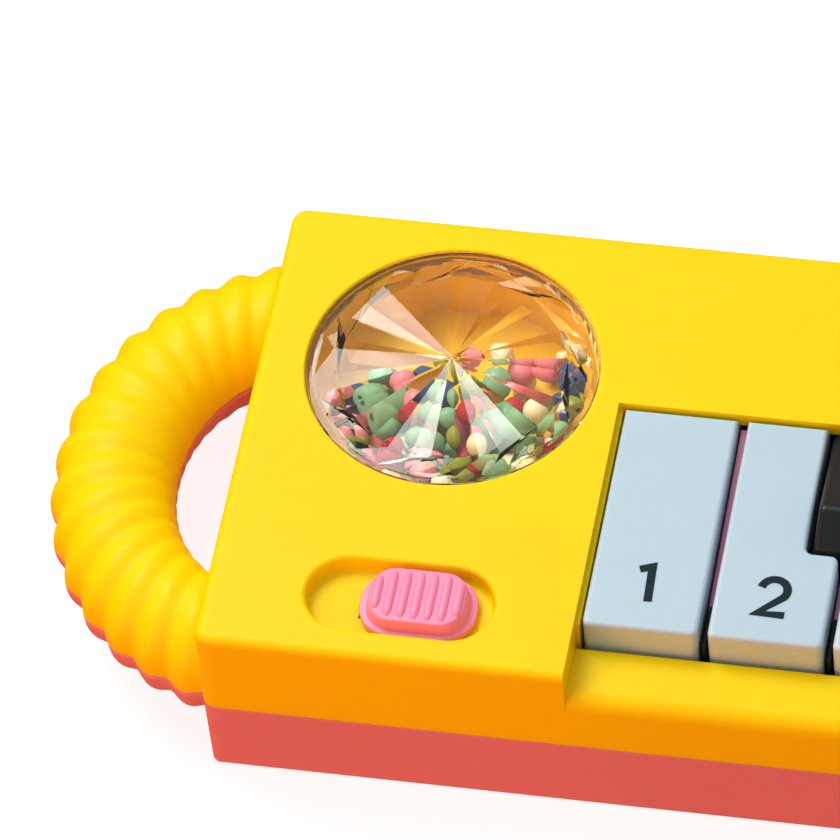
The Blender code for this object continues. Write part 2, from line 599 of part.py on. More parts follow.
def wiring(red, grey):
    wire("battery_lead", [(x * MM, y * MM, z * MM) for x, y, z in (
        (79.9, 30, 9), (72, 29, 7), (60, 25, 6), (50, 22, 8), (43, 18, 11), (38, 15, 13), (36, 14, 14.2))], red)
    wire("speaker_lead", [(x * MM, y * MM, z * MM) for x, y, z in (
        (179, 39, 14), (174, 34, 11), (170, 26, 10), (168, 18, 10.5), (165.2, 13.5, 11.8))], red)
    side = [(41, 14.3), (44.2, 14.3), (44.8, 10.1), (48.5, 10.1), (48.5, 10.7), (45.4, 10.7),
            (44.8, 14.9), (41, 14.9)]

    def add(mesh):
        ends = [[mesh.verts.new(at(x * MM, y, z * MM)) for x, z in side] for y in (10 * MM, 15.6 * MM)]
        for i in range(len(side)):
            j = (i + 1) % len(side)
            mesh.faces.new((ends[0][i], ends[0][j], ends[1][j], ends[1][i]))
        mesh.faces.new(ends[0])
        mesh.faces.new(ends[1])
    make("board_ribbon", add, grey)


def build():
    for old in list(bpy.data.objects):
        bpy.data.objects.remove(old)
    yellow = material("yellow_plastic", "FEE32A", 0.32)
    pink = material("coral_plastic", "E8686E", 0.38)
    black = material("black_plastic", "20282A", 0.3)
    steel = material("steel", "B8B8B8", 0.35, 1.0)
    rubber = material("black_rubber", "202020", 0.8)
    board = material("circuit_board", "8A6A34", 0.6)
    top_housing(yellow)
    bottom_housing(pink)
    handle_half("handle_upper_half", yellow, 1)
    handle_half("handle_lower_half", pink, -1)
    window(material("clear_plastic", "FFFFFF", 0.05, alpha=0.35), material("amber_plastic", "F9A54A", 0.4),
           [material(f"bead_{code}", code, 0.3) for code in (
               "2FA56B", "C8324E", "F7D9A8", "2B3F7A", "B7D44A", "F07FA8")])
    for number in range(1, KEYS + 1):
        white_key(number, material(f"white_plastic_{number}", "C8DEE8", 0.3))
    black_comb(black)
    key_parts(steel, rubber, board)
    slide_switch(material("pink_plastic", "F99BC8", 0.35), steel, black, board)
    speaker(steel, material("paper", "40382E", 0.9), material("ferrite", "303030", 0.5))
    battery_parts(material("cell_jacket", "3C6E8F", 0.35), steel)
    battery_door(pink, steel)
    screws_and_feet(steel, material("foot_rubber", "C9C4BC", 0.8))
    wiring(material("red_wire", "B02020", 0.5), material("grey_ribbon", "9A9A9A", 0.6))


build()
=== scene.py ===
"""The looks of a toy electronic keyboard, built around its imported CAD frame. Metres, +Z up."""

import json
import math
import random

import bmesh
import bpy
from mathutils import Euler, Matrix, Vector


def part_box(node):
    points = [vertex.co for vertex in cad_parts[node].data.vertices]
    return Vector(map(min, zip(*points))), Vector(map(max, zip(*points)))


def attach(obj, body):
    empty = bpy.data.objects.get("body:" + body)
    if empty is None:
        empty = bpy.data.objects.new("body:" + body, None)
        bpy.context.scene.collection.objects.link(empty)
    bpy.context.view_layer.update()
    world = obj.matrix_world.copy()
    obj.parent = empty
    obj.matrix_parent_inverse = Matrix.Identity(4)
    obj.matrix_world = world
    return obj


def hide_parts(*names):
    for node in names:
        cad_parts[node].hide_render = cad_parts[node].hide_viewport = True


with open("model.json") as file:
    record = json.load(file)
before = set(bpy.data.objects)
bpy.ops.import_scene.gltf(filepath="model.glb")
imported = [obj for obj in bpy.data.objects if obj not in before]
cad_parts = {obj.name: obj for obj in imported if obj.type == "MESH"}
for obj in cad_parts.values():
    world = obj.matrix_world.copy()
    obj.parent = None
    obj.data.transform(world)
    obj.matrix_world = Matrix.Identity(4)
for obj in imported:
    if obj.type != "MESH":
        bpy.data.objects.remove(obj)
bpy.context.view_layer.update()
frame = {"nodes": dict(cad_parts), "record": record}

MM = 0.001
HOUSING = "housing"

# Places read from the frame. The body's grid starts at its left face, its front face and the floor.
HOUSING_LOW, HOUSING_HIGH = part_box("top_housing")
LENGTH = HOUSING_HIGH.x - HOUSING_LOW.x
DEPTH = HOUSING_HIGH.y - HOUSING_LOW.y
TOP = HOUSING_HIGH.z
SEAM = HOUSING_LOW.z - 0.15 * MM       # the CAD housings keep half their gap to it
KEYS = [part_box(f"white_key_{n}") for n in range(1, 9)]
KEY_TOP = KEYS[0][1].z
KEY_BOTTOM = KEYS[0][0].z + 0.4 * MM
KEY_FRONT = KEYS[0][0].y - HOUSING_LOW.y
KEY_REAR = KEYS[0][1].y - HOUSING_LOW.y
KEY_WIDTH = KEYS[0][1].x - KEYS[0][0].x
PITCH = KEYS[1][0].x - KEYS[0][0].x
COMB_LOW, COMB_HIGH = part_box("black_key_comb")
LENS_LOW, LENS_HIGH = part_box("window_lens")
TRAY_LOW, TRAY_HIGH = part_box("bead_tray")
KNOB_LOW, KNOB_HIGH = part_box("switch_knob")
SPEAKER_LOW, SPEAKER_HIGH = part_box("speaker_basket")
DOOR_LOW, DOOR_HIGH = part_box("battery_door")
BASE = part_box("bottom_housing")[0].z

# Sizes that the frame's boxes don't hold
WALL = 2 * MM
CORNER = 2 * MM
SEAM_GAP = 0.05 * MM                 # between each shell and the seam
FOOT_INSET = 0.4 * MM                # the lower shell's draft
FOOT_RECESS = 0.9 * MM
DOOR_SCREW_INSET = 4.7 * MM          # from the battery door's free end
EDGE = 1.2 * MM                      # rounding of the housing's top edge
SIDE_GAP = 0.86 * MM                 # between the first key and the block
BLOCK = KEYS[0][0].x - HOUSING_LOW.x - SIDE_GAP
LEDGE = TOP - 4.6 * MM
LEDGE_DEPTH = 7.9 * MM
LEDGE_ROUND = 2.2 * MM
WELL_BACK = 41.6 * MM
INNER_TOP = TOP - WALL
WINDOW = 18.2 * MM
WINDOW_LIP = 18.02 * MM              # the lip that covers the lens's edge
SLOT_CENTRE = (23.6 * MM, 9.25 * MM)
SLOT_SIZE = (22.8 * MM, 10.5 * MM)
SLOT_FLOOR = TOP - 2.4 * MM
PIVOT = (50 * MM, 20.5 * MM)
BLACK_AFTER = (2, 3, 5, 6, 7)
BLACK_WIDTH = 8.5 * MM
BLACK_CLEAR = 0.4 * MM
SCREWS = [(6.2 * MM, 21 * MM), (5.5 * MM, 60 * MM), (75 * MM, 59.5 * MM),
          (135 * MM, 59.5 * MM), (LENGTH - 5.5 * MM, 60 * MM), (LENGTH - 6.2 * MM, 21 * MM)]
FEET = [(x, y) for x in (14 * MM, LENGTH - 14 * MM) for y in (9 * MM, DEPTH - 17 * MM)]
PRINT = 0.04 * MM                    # thickness of printed ink


def at(x, y, z):
    """A place in the body's grid, in the frame."""
    return Vector((HOUSING_LOW.x + x, HOUSING_LOW.y + y, z))


def grid(place):
    """x and y of a frame place in the body's grid."""
    return place.x - HOUSING_LOW.x, place.y - HOUSING_LOW.y


WINDOW_X, WINDOW_Y = grid((LENS_LOW + LENS_HIGH) / 2)
SPEAKER_X, SPEAKER_Y = grid((SPEAKER_LOW + SPEAKER_HIGH) / 2)


# Materials

def linear(code):
    channels = [int(code[i:i + 2], 16) / 255 for i in (0, 2, 4)]
    return (*(c / 12.92 if c <= 0.04045 else ((c + 0.055) / 1.055) ** 2.4 for c in channels), 1)


class Shader:
    """A Principled material whose colour, roughness and bump are driven by procedural texture."""

    def __init__(self, name, **values):
        self.material = bpy.data.materials.new(name)
        self.material.use_nodes = True
        self.tree = self.material.node_tree
        self.principled = self.tree.nodes["Principled BSDF"]
        self.place = self.add("ShaderNodeTexCoord").outputs["Object"]
        for key, value in values.items():
            self.principled.inputs[key.replace("_", " ")].default_value = value

    def add(self, kind, **values):
        node = self.tree.nodes.new(kind)
        for key, value in values.items():
            if hasattr(node, key):
                setattr(node, key, value)
            else:
                node.inputs[key.replace("_", " ")].default_value = value
        return node

    def link(self, output, target):
        self.tree.links.new(output, target)

    def noise(self, scale, detail=3.0, roughness=0.5, stretch=None):
        place = self.place
        if stretch:
            mapping = self.add("ShaderNodeMapping")
            mapping.inputs["Scale"].default_value = stretch
            self.link(place, mapping.inputs["Vector"])
            place = mapping.outputs["Vector"]
        node = self.add("ShaderNodeTexNoise", Scale=scale, Detail=detail, Roughness=roughness)
        self.link(place, node.inputs["Vector"])
        return node.outputs["Fac"]

    def ramp(self, source, stops):
        node = self.add("ShaderNodeValToRGB")
        while len(node.color_ramp.elements) < len(stops):
            node.color_ramp.elements.new(0.5)
        for element, (position, colour) in zip(node.color_ramp.elements, stops):
            element.position = position
            element.color = colour
        self.link(source, node.inputs["Fac"])
        return node.outputs["Color"]

    def spread(self, source, low, high):
        node = self.add("ShaderNodeMapRange")
        node.inputs["To Min"].default_value = low
        node.inputs["To Max"].default_value = high
        node.inputs["From Min"].default_value = 0.3
        node.inputs["From Max"].default_value = 0.7
        self.link(source, node.inputs["Value"])
        return node.outputs["Result"]

    def colour(self, output):
        self.link(output, self.principled.inputs["Base Color"])

    def roughness(self, output):
        self.link(output, self.principled.inputs["Roughness"])

    def bump(self, *layers):
        """Each layer is (height output, strength, distance)."""
        normal = None
        for height, strength, distance in layers:
            node = self.add("ShaderNodeBump", Strength=strength, Distance=distance)
            self.link(height, node.inputs["Height"])
            if normal:
                self.link(normal, node.inputs["Normal"])
            normal = node.outputs["Normal"]
        self.link(normal, self.principled.inputs["Normal"])


def shade(colour, factor):
    return tuple(min(1.0, c * factor) for c in colour[:3]) + (1,)


def moulded(name, code, rough=0.32, variation=0.05, scatter=0.0, grain=0.2, gloss=0.4, spread=None,
            depth=1.5):
    """Injection-moulded plastic: slow flow marks in colour, fine texture and faint scuffs. Light enters it
    to a depth in millimetres, and spreads by colour."""
    colour = linear(code)
    shader = Shader(name, Specular_IOR_Level=gloss)
    if scatter:
        shader.principled.inputs["Subsurface Weight"].default_value = scatter
        shader.principled.inputs["Subsurface Radius"].default_value = spread or colour[:3]
        shader.principled.inputs["Subsurface Scale"].default_value = depth * MM
    flow = shader.noise(45, 4, 0.55, stretch=(1, 2.2, 1))
    shader.colour(shader.ramp(flow, [(0.3, shade(colour, 1 - variation)),
                                     (0.7, shade(colour, 1 + variation))]))
    scuff = shader.noise(900, 2, 0.6, stretch=(1, 7, 1))
    shader.roughness(shader.spread(scuff, rough - 0.05, rough + 0.07))
    shader.bump((shader.noise(160, 1), 0.05, 0.3 * MM), (shader.noise(2600, 1), grain, 0.005 * MM))
    return shader.material


def clear(name, code):
    """Polished clear styrene with the faintest moulding waves."""
    shader = Shader(name, IOR=1.5, Transmission_Weight=1.0, Specular_IOR_Level=0.5)
    colour = linear(code)
    shader.colour(shader.ramp(shader.noise(60), [(0.3, shade(colour, 0.97)), (0.7, colour)]))
    shader.roughness(shader.spread(shader.noise(300), 0.0, 0.03))
    shader.bump((shader.noise(90, 1), 0.05, 0.2 * MM))
    return shader.material


def metal(name, code, rough=0.3):
    colour = linear(code)
    shader = Shader(name, Metallic=1.0)
    shader.colour(shader.ramp(shader.noise(400, 4), [(0.3, shade(colour, 0.85)), (0.7, shade(colour, 1.05))]))
    brushed = shader.noise(1500, 2, 0.6, stretch=(1, 14, 1))
    shader.roughness(shader.spread(brushed, rough - 0.08, rough + 0.12))
    shader.bump((brushed, 0.1, 0.01 * MM))
    return shader.material


def matt(name, code, rough=0.8, scale=1800, depth=0.05, variation=0.12):
    """Rubber, paper, ferrite or epoxy: a matt ground with visible grain."""
    colour = linear(code)
    shader = Shader(name)
    grain = shader.noise(scale, 4, 0.65)
    shader.colour(shader.ramp(grain, [(0.3, shade(colour, 1 - variation)),
                                      (0.7, shade(colour, 1 + variation))]))
    shader.roughness(shader.spread(grain, rough - 0.08, min(1, rough + 0.08)))
    shader.bump((grain, 0.5, depth * MM))
    return shader.material


def board_material():
    """Tan phenolic board with darker copper tracks under the lacquer."""
    shader = Shader("phenolic_board", Roughness=0.45)
    tracks = shader.add("ShaderNodeTexBrick", Scale=180.0)
    tracks.inputs["Color1"].default_value = linear("9B7A3C")
    tracks.inputs["Color2"].default_value = linear("87662E")
    tracks.inputs["Mortar"].default_value = linear("5E4A1E")
    shader.link(shader.place, tracks.inputs["Vector"])
    shader.colour(tracks.outputs["Color"])
    shader.roughness(shader.spread(shader.noise(700), 0.38, 0.55))
    shader.bump((tracks.outputs["Fac"], 0.3, 0.03 * MM))
    return shader.material


def cell_material():
    """A plain blue battery jacket, faintly mottled."""
    shader = Shader("cell_jacket", Metallic=0.3)
    fibre = shader.noise(500, 3)
    shader.colour(shader.ramp(fibre, [(0.3, linear("2F5D7E")), (0.7, linear("3D6F92"))]))
    shader.roughness(shader.spread(fibre, 0.25, 0.4))
    shader.bump((fibre, 0.1, 0.02 * MM))
    return shader.material


LOOKS = {}


def make_looks():
    LOOKS.update({
        "yellow_shell": moulded("yellow_plastic", "FCD900", 0.4, 0.02, gloss=0.14, scatter=0.3,
                                spread=(1, 0.45, 0.08), depth=2.5),
        # The lower shell's pink is the knob's pink plastic made darker: painted shade standing in for the
        # shade on its front faces.
        "coral_shell": moulded("pink_plastic_darkened_as_painted_shade", "E287A2", 0.38, 0.03, gloss=0.3, scatter=0.15),
        "clear_lens": clear("clear_styrene", "FFF8E2"),
        # The tray is the housing's yellow plastic. Its colour is tinted orange as painted shade for its place
        # under the window, and made lighter as painted light for the dim space there.
        "amber_tray": moulded("amber_plastic", "FFCB1E", 0.38, 0.04, gloss=0.3, scatter=0.1),
        "black_keys": moulded("black_plastic", "131D1F", 0.34, 0.1, gloss=0.3),
        "white_keys": moulded("white_plastic", "BBD6E0", 0.22, 0.012, scatter=0.35,
                              spread=(1, 0.3, 0.22), depth=1.8),
        "pink_knob": moulded("pink_plastic_knob", "FB93B6", 0.36, 0.03, scatter=0.1),
        "steel_parts": metal("nickel_steel", "B9B7B2"),
        "circuit_board": board_material(),
        "contact_rubber": matt("black_silicone", "191A1B", 0.7),
        "black_resin": matt("black_epoxy", "141414", 0.5),
        "speaker_cone": matt("pressed_paper", "40382E", 0.9, 2500, 0.12, 0.2),
        "speaker_magnet": matt("ferrite", "2E2D2C", 0.55),
        "cell_jacket": cell_material(),
        "wire_jacket": moulded("red_wire", "A81E1E", 0.45),
        "ribbon_cable": moulded("grey_ribbon", "8F8F8F", 0.5),
        "foot_rubber": matt("foot_rubber", "BDB8B0", 0.85),
        "bead_crimson": moulded("bead_crimson", "B62C38", 0.18, 0.06, scatter=0.1),
        "bead_cream": moulded("bead_cream", "F4EACB", 0.2, 0.03, scatter=0.2),
        "bead_navy": moulded("bead_navy", "3F548E", 0.18, 0.1),
        "bead_lime": moulded("bead_lime", "8F9A34", 0.2, 0.06, scatter=0.1),
        "bead_pink": moulded("bead_pink", "F28CA4", 0.2, 0.05, scatter=0.1),
        "bead_green": moulded("bead_mint", "84B896", 0.18, 0.08, scatter=0.2),
    })


# Mesh tools

def rounded(x0, x1, y0, y1, radius, steps=8):
    """A rectangle with round corners, anticlockwise."""
    points = []
    for cx, cy, start in ((x1 - radius, y1 - radius, 0), (x0 + radius, y1 - radius, 90),
                          (x0 + radius, y0 + radius, 180), (x1 - radius, y0 + radius, 270)):
        for i in range(steps + 1):
            a = math.radians(start + 90 * i / steps)
            points.append((cx + radius * math.cos(a), cy + radius * math.sin(a)))
    return points


def circle(x, y, radius, steps=48):
    return [(x + radius * math.cos(2 * math.pi * i / steps), y + radius * math.sin(2 * math.pi * i / steps))
            for i in range(steps)]


def box_outline(x, y):
    return [(x[0], y[0]), (x[1], y[0]), (x[1], y[1]), (x[0], y[1])]


def skin(mesh, rings, closed=False):
    """Faces between successive rings of points, with end caps unless the run is closed."""
    made = [[mesh.verts.new(p) for p in ring] for ring in rings]
    for a, b in zip(made, made[1:] + (made[:1] if closed else [])):
        for i in range(len(a)):
            j = (i + 1) % len(a)
            mesh.faces.new((a[i], a[j], b[j], b[i]))
    if not closed:
        mesh.faces.new(list(reversed(made[0])))
        mesh.faces.new(made[-1])
    return made


def loft(*levels):
    """A closed solid through outlines of equal length, each with its height."""
    mesh = bmesh.new()
    skin(mesh, [[at(x, y, z) for x, y in outline] for outline, z in levels])
    return mesh


def prism(outline, z0, z1):
    return loft((outline, z0), (outline, z1))


def block(x, y, z):
    return prism(box_outline(x, y), *z)


def flared(outline_at, z0, mouth, flare, steps=4, toe=0.0):
    """A cutter whose walls open out in a quarter round where they reach the mouth's plane, and close in
    by another one, of radius toe, at its floor. outline_at gives the outline grown by a distance."""
    levels = []
    if toe:
        for i in range(steps):
            a = math.radians(90 * i / steps)
            levels.append((outline_at(-toe * (1 - math.sin(a))), z0 + toe * (1 - math.cos(a))))
    levels += [(outline_at(0), z0 + toe), (outline_at(0), mouth - flare)]
    for i in range(1, steps + 1):
        a = math.radians(90 * i / steps)
        levels.append((outline_at(flare * (1 - math.cos(a))), mouth - flare + flare * math.sin(a)))
    levels.append((outline_at(flare), mouth + 1 * MM))
    return loft(*levels)


def extruded(side, x0, x1):
    """A closed solid from an outline in y and z, drawn along x."""
    mesh = bmesh.new()
    skin(mesh, [[at(x, y, z) for y, z in side] for x in (x0, x1)])
    return mesh


def turned(profile, x, y, steps=48):
    """A solid turned about a vertical axis, from a closed run of (radius, height) points."""
    mesh = bmesh.new()
    rings = []
    for radius, height in profile:
        count = steps if radius else 1
        rings.append([mesh.verts.new(at(x + radius * math.cos(2 * math.pi * i / steps),
                                        y + radius * math.sin(2 * math.pi * i / steps), height))
                      for i in range(count)])
    for a, b in zip(rings, rings[1:] + rings[:1]):
        for i in range(steps):
            j = (i + 1) % steps
            corners = list(dict.fromkeys((a[i % len(a)], a[j % len(a)], b[j % len(b)], b[i % len(b)])))
            if len(corners) > 2:
                mesh.faces.new(corners)
    return mesh


def solid(name, mesh, look, smooth=30):
    """An object from a bmesh, with smooth shading up to an angle."""
    bmesh.ops.recalc_face_normals(mesh, faces=mesh.faces)
    data = bpy.data.meshes.new(name)
    mesh.to_mesh(data)
    mesh.free()
    made = bpy.data.objects.new(name, data)
    bpy.context.scene.collection.objects.link(made)
    if look:
        data.materials.append(LOOKS[look] if isinstance(look, str) else look)
    data.shade_smooth()
    data.set_sharp_from_angle(angle=math.radians(smooth))
    return made


def combine(piece, operation, *meshes):
    """Applies one Boolean for each mesh to the piece, then drops the tools."""
    tools = [solid("tool", mesh, None) for mesh in meshes]
    for tool in tools:
        step = piece.modifiers.new("step", "BOOLEAN")
        step.operation = operation
        step.object = tool
    apply_modifiers(piece)
    for tool in tools:
        bpy.data.meshes.remove(tool.data)


def apply_modifiers(piece):
    graph = bpy.context.evaluated_depsgraph_get()
    graph.update()
    made = bpy.data.meshes.new_from_object(piece.evaluated_get(graph))
    piece.modifiers.clear()
    old, piece.data = piece.data, made
    bpy.data.meshes.remove(old)


def round_edges(piece, radius, choose, segments=3):
    """Rounds the sharp edges that choose(edge, middle) picks."""
    mesh = bmesh.new()
    mesh.from_mesh(piece.data)
    bmesh.ops.remove_doubles(mesh, verts=mesh.verts, dist=0.001 * MM)
    picked = []
    for edge in mesh.edges:
        if len(edge.link_faces) == 2 and edge.calc_face_angle(0) > math.radians(35):
            middle = (edge.verts[0].co + edge.verts[1].co) / 2
            if choose(edge, middle):
                picked.append(edge)
    bmesh.ops.bevel(mesh, geom=picked, offset=radius, segments=segments, profile=0.5, affect="EDGES",
                    clamp_overlap=True)
    mesh.to_mesh(piece.data)
    mesh.free()


def finish_surface(piece, smooth=30):
    """Smooth shading that keeps flat faces flat."""
    piece.data.shade_smooth()
    piece.data.set_sharp_from_angle(angle=math.radians(smooth))
    step = piece.modifiers.new("even_normals", "WEIGHTED_NORMAL")
    step.keep_sharp = True


def place(piece, body, slot, *replaced):
    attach(piece, body)
    if replaced:
        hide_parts(*replaced)
    return piece


# Housing

def body_outline(inset):
    return rounded(inset, LENGTH - inset, inset, DEPTH - inset, max(CORNER - inset, 1 * MM))


def slot_outline(grow):
    (x, y), (length, width) = SLOT_CENTRE, SLOT_SIZE
    return rounded(x - length / 2 - grow, x + length / 2 + grow, y - width / 2 - grow, y + width / 2 + grow,
                   width / 2 + grow - 0.01 * MM, 12)


def grille_holes():
    centres = [(0, 0)]
    for ring in (1, 2):
        for i in range(6 * ring):
            a = 2 * math.pi * i / (6 * ring)
            centres.append((ring * 5 * MM * math.cos(a), ring * 5 * MM * math.sin(a)))
    return [(SPEAKER_X + x, SPEAKER_Y + y) for x, y in centres]


def upper_shell():
    """The yellow upper housing: the key well with its front step, the window, the switch slot, the
    grille, and a thin strip that closes the gap beside each outer key."""
    fillet = [(EDGE * (1 - math.cos(math.radians(a))), TOP - EDGE * (1 - math.sin(math.radians(a))))
              for a in range(0, 91, 15)]
    shell = solid("upper_shell", loft(
        (body_outline(0.1 * MM), SEAM + SEAM_GAP), (body_outline(0), SEAM + 0.15 * MM),
        *[(body_outline(d), z) for d, z in fillet]), "yellow_shell")
    field = (BLOCK, LENGTH - BLOCK)
    above = TOP + 1 * MM
    arc = [(LEDGE_ROUND * (1 - math.cos(math.radians(a))),
            LEDGE - LEDGE_ROUND * (1 - math.sin(math.radians(a)))) for a in range(0, 91, 10)]
    side = [(-1 * MM, above), (-1 * MM, arc[0][1]), *arc, (WELL_BACK, LEDGE), (WELL_BACK, above)]
    combine(shell, "DIFFERENCE", extruded(side, *field),
            block(field, (LEDGE_DEPTH, WELL_BACK), (SEAM + 1 * MM, LEDGE + 1 * MM)))

    def visible_edge(edge, middle):
        x, y = grid(middle)
        at_wall = min(abs(x - BLOCK), abs(x - (LENGTH - BLOCK))) < 0.01 * MM
        at_rim = abs(y - WELL_BACK) < 0.01 * MM and middle.z > TOP - 0.1 * MM
        at_ledge = abs(y - LEDGE_DEPTH) < 0.01 * MM and abs(middle.z - LEDGE) < 0.1 * MM
        return edge.is_convex and (at_wall or at_rim or at_ledge)
    round_edges(shell, 0.8 * MM, visible_edge, 4)
    under = SEAM - 1 * MM
    combine(
        shell, "DIFFERENCE",
        prism(body_outline(WALL), under, LEDGE - WALL),
        block((BLOCK - WALL, LENGTH - BLOCK + WALL), (LEDGE_DEPTH, WELL_BACK),
              (under, LEDGE - WALL - 0.01 * MM)),
        prism(rounded(WALL, BLOCK - WALL, WALL, DEPTH - WALL, 2 * MM), under, INNER_TOP),
        prism(rounded(LENGTH - BLOCK + WALL, LENGTH - WALL, WALL, DEPTH - WALL, 2 * MM), under, INNER_TOP),
        block(field, (WELL_BACK - 1 * MM, DEPTH - WALL), (under, INNER_TOP)),
        prism(circle(WINDOW_X, WINDOW_Y, WINDOW, 96), under, TOP - 0.45 * MM),
        flared(lambda d: circle(WINDOW_X, WINDOW_Y, WINDOW_LIP + d, 96), INNER_TOP, TOP, 0.3 * MM),
    )
    strip, strip_top = 0.5 * MM, TOP - 1.3 * MM
    combine(shell, "UNION", prism(slot_outline(1.5 * MM), SLOT_FLOOR - 1.5 * MM, INNER_TOP + 0.5 * MM),
            *[block((x - strip, x + strip), (LEDGE_DEPTH + 1 * MM, WELL_BACK + 0.5 * MM),
                    (LEDGE - 2.5 * MM, strip_top)) for x in field])
    stem = KNOB_LOW.x / 2 + KNOB_HIGH.x / 2 - HOUSING_LOW.x + 1.5 * MM
    combine(
        shell, "DIFFERENCE",
        flared(slot_outline, SLOT_FLOOR, TOP, 0.6 * MM, toe=0.8 * MM),
        block((stem - 8.6 * MM, stem + 4.2 * MM), (SLOT_CENTRE[1] - 1.9 * MM, SLOT_CENTRE[1] + 1.9 * MM),
              (SLOT_FLOOR - 2.5 * MM, SLOT_FLOOR + 0.5 * MM)),
        *[flared(lambda d, x=x, y=y: circle(x, y, 1.5 * MM + d, 20), INNER_TOP - 1 * MM, TOP, 0.35 * MM, 3)
          for x, y in grille_holes()],
    )
    finish_surface(shell)
    return place(shell, HOUSING, "yellow_shell", "top_housing")


def lower_shell():
    """The pink lower housing, with its screw wells, foot recesses and battery bay."""
    rim = SEAM - SEAM_GAP
    edge = 0.35 * MM
    foot = [(FOOT_INSET + edge * (1 - math.cos(math.radians(a))),
             BASE + edge * (1 - math.sin(math.radians(a)))) for a in range(90, -1, -30)]
    shell = solid("lower_shell", loft(*[(rounded(d, LENGTH - d, d, DEPTH - d, 1 * MM), z) for d, z in foot],
                                      (body_outline(0), rim - 0.1 * MM), (body_outline(0.1 * MM), rim)),
                  "coral_shell")
    combine(shell, "DIFFERENCE", loft((body_outline(FOOT_INSET + WALL), BASE + WALL),
                                      (body_outline(WALL), rim + 1 * MM)))
    below = -1 * MM
    x0, x1 = DOOR_LOW.x - HOUSING_LOW.x - 1.2 * MM, DOOR_HIGH.x - HOUSING_LOW.x + 0.3 * MM
    y0, y1 = grid(DOOR_LOW)[1] + 0.6 * MM, grid(DOOR_HIGH)[1] - 0.6 * MM
    bay_right = x1 - 10 * MM
    door_screw = DOOR_HIGH.x - HOUSING_LOW.x - DOOR_SCREW_INSET
    bay_top = 13.9 * MM
    wall = 1.5 * MM
    combine(shell, "UNION",
            block((x0 - wall, x1 + wall), (y0 - wall, y1 + wall), (BASE + 0.5 * MM, bay_top + wall)),
            *[prism(circle(x, y, 3.6 * MM, 32), BASE + 1 * MM, rim) for x, y in SCREWS])
    lip = 0.35 * MM
    combine(
        shell, "DIFFERENCE",
        loft((box_outline((x0 - lip - 1 * MM, x1 + lip + 1 * MM),
                          (y0 - lip - 1 * MM, y1 + lip + 1 * MM)), below),
             (box_outline((x0 - lip, x1 + lip), (y0 - lip, y1 + lip)), BASE - 0.01 * MM),
             (box_outline((x0, x1), (y0, y1)), BASE + lip), (box_outline((x0, x1), (y0, y1)), 3 * MM)),
        block((x0, bay_right), (y0, y1), (2.9 * MM, bay_top)),
        prism(circle(door_screw, (y0 + y1) / 2, 3.8 * MM, 32), 2.9 * MM, 4.9 * MM),
        prism(circle(door_screw, (y0 + y1) / 2, 1.2 * MM, 24), 4.8 * MM, 11 * MM),
        *[tapered_well(x, y, 2.7 * MM, below, 9.8 * MM) for x, y in SCREWS],
        *[tapered_well(x, y, 4.8 * MM, below, BASE + FOOT_RECESS) for x, y in FEET],
    )
    finish_surface(shell)
    return place(shell, HOUSING, "coral_shell", "bottom_housing")


def tapered_well(x, y, radius, below, top):
    """A round recess in the underside, with a softened mouth."""
    soft = 0.3 * MM
    return loft((circle(x, y, radius + soft + 1 * MM, 40), below),
                (circle(x, y, radius + soft, 40), BASE - 0.01 * MM),
                (circle(x, y, radius, 40), BASE + soft), (circle(x, y, radius, 40), top))


def battery_door():
    """The battery door: a flat panel with a ribbed thumb area and a sunk boss for its screw."""
    x0, x1 = DOOR_LOW.x - HOUSING_LOW.x + 0.6 * MM, DOOR_HIGH.x - HOUSING_LOW.x
    y0, y1 = grid(DOOR_LOW)[1] + 0.9 * MM, grid(DOOR_HIGH)[1] - 0.9 * MM
    z0, z1 = 1.0 * MM, 2.6 * MM
    soft = 0.25 * MM
    middle = (y0 + y1) / 2
    screw_x = x1 - DOOR_SCREW_INSET
    door = solid("battery_cover", loft(
        (rounded(x0 + soft, x1 - soft, y0 + soft, y1 - soft, 0.8 * MM), z0),
        (rounded(x0, x1, y0, y1, 1 * MM), z0 + soft), (rounded(x0, x1, y0, y1, 1 * MM), z1)), "coral_shell")
    grips = []
    for i in range(7):
        x = x1 - 13 * MM - i * 1.7 * MM
        grips.append(loft(
            (box_outline((x - 0.2 * MM, x + 0.2 * MM), (middle - 5 * MM, middle + 5 * MM)), z0 - 0.35 * MM),
            (box_outline((x - 0.5 * MM, x + 0.5 * MM), (middle - 5.5 * MM, middle + 5.5 * MM)),
             z0 + 0.2 * MM)))
    pin = bmesh.new()
    skin(pin, [[at(x0 - 0.6 * MM + 0.8 * MM * math.cos(a), y, 1.9 * MM + 0.8 * MM * math.sin(a))
                for a in (2 * math.pi * i / 24 for i in range(24))] for y in (y0, y1)])
    combine(door, "UNION", pin, prism(circle(screw_x, middle, 3.4 * MM, 32), 1.5 * MM, 4.6 * MM), *grips)
    combine(door, "DIFFERENCE", prism(circle(screw_x, middle, 2.4 * MM, 32), 0, 3 * MM),
            prism(circle(screw_x, middle, 1.3 * MM, 24), 2.5 * MM, 6 * MM))
    finish_surface(door)
    place(door, "battery_door", "coral_shell", "battery_door")
    screw("battery_screw", (screw_x, middle), (1.3 * MM, 2.7 * MM, 9.6 * MM), (2 * MM, 1 * MM),
          "battery_door", "battery_door_screw")


